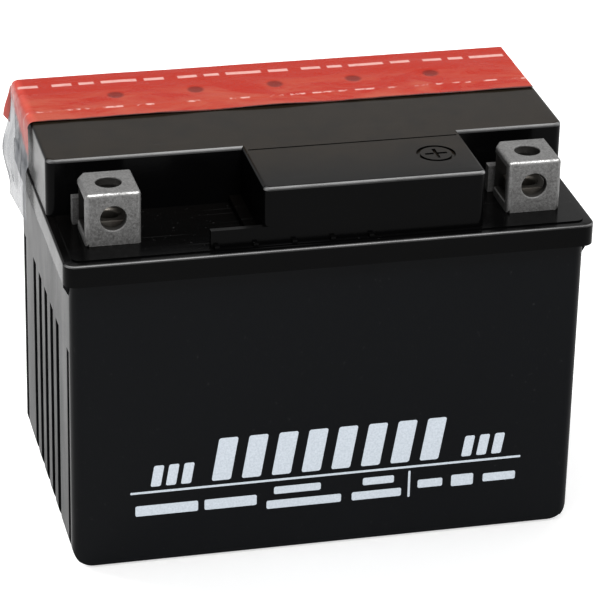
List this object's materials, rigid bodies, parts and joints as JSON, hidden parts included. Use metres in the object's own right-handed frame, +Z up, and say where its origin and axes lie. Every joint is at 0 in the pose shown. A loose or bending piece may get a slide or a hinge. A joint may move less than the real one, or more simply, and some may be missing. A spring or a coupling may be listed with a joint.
{
  "type": "motorcycle battery",
  "caption": "Small sealed lead-acid battery with a ribbed case, stepped cover, boxed bolt terminals in corner pockets and a peel-off film over its filler plugs.",
  "frame": {"origin": "centre of the base", "axes": "+Z up, +X right along the battery's length, -Y the front where the terminals are"},
  "size_m": [0.114, 0.071, 0.086],
  "materials": {
    "case_plastic": "satin black moulded plastic",
    "cover_plastic": "glossy black moulded plastic with fine rub marks",
    "lead": null,
    "plated_steel": "zinc-plated",
    "potting": "dull potting compound",
    "plug_plastic": "satin black",
    "valve_rubber": "soft matt rubber",
    "porous_disc": "pressed porous disc",
    "red_film": "thin translucent red film with clear left end",
    "positive_paste": "dull dark brown cured paste on a lead grid",
    "negative_paste": "dull grey spongy lead on a lead grid",
    "glass_mat": "soft white glass-fibre mat",
    "strap_lead": null
  },
  "bodies": {
    "battery": {"case": "case_plastic", "cover": "cover_plastic", "negative_terminal": "lead", "positive_terminal": "lead", "negative_post_seal": "potting", "positive_post_seal": "potting", "positive_plates_1": "positive_paste", "negative_plates_1": "negative_paste", "separators_1": "glass_mat", "positive_strap_1": "strap_lead", "negative_strap_1": "strap_lead", "positive_plates_2": "positive_paste", "negative_plates_2": "negative_paste", "separators_2": "glass_mat", "positive_strap_2": "strap_lead", "negative_strap_2": "strap_lead", "positive_plates_3": "positive_paste", "negative_plates_3": "negative_paste", "separators_3": "glass_mat", "positive_strap_3": "strap_lead", "negative_strap_3": "strap_lead", "positive_plates_4": "positive_paste", "negative_plates_4": "negative_paste", "separators_4": "glass_mat", "positive_strap_4": "strap_lead", "negative_strap_4": "strap_lead", "positive_plates_5": "positive_paste", "negative_plates_5": "negative_paste", "separators_5": "glass_mat", "positive_strap_5": "strap_lead", "negative_strap_5": "strap_lead", "positive_plates_6": "positive_paste", "negative_plates_6": "negative_paste", "separators_6": "glass_mat", "positive_strap_6": "strap_lead", "negative_strap_6": "strap_lead", "cell_weld_1": "strap_lead", "cell_weld_2": "strap_lead", "cell_weld_3": "strap_lead", "cell_weld_4": "strap_lead", "cell_weld_5": "strap_lead"},
    "plug_strip": {"plug_strip": "plug_plastic", "relief_valves": "valve_rubber", "flame_discs": "porous_disc", "seal_film_tail": "red_film"},
    "seal_film": {"seal_film": "red_film"},
    "negative_nut": {"negative_nut": "plated_steel"},
    "positive_nut": {"positive_nut": "plated_steel"}
  },
  "joints": [
    {"name": "plug_strip_lift", "type": "slide", "parent": "battery", "child": "plug_strip", "axis": [0, 0, 1], "range_m": [0, 0.02]},
    {"name": "seal_film_peel", "type": "hinge", "parent": "plug_strip", "child": "seal_film", "pos_m": [0.045, 0, 0.086], "axis": [0, 1, 0], "range_deg": [0, 110]},
    {"name": "negative_nut_slide", "type": "slide", "parent": "battery", "child": "negative_nut", "axis": [-1, 0, 0], "range_m": [0, 0.011]},
    {"name": "positive_nut_slide", "type": "slide", "parent": "battery", "child": "positive_nut", "axis": [1, 0, 0], "range_m": [0, 0.011]}
  ]
}
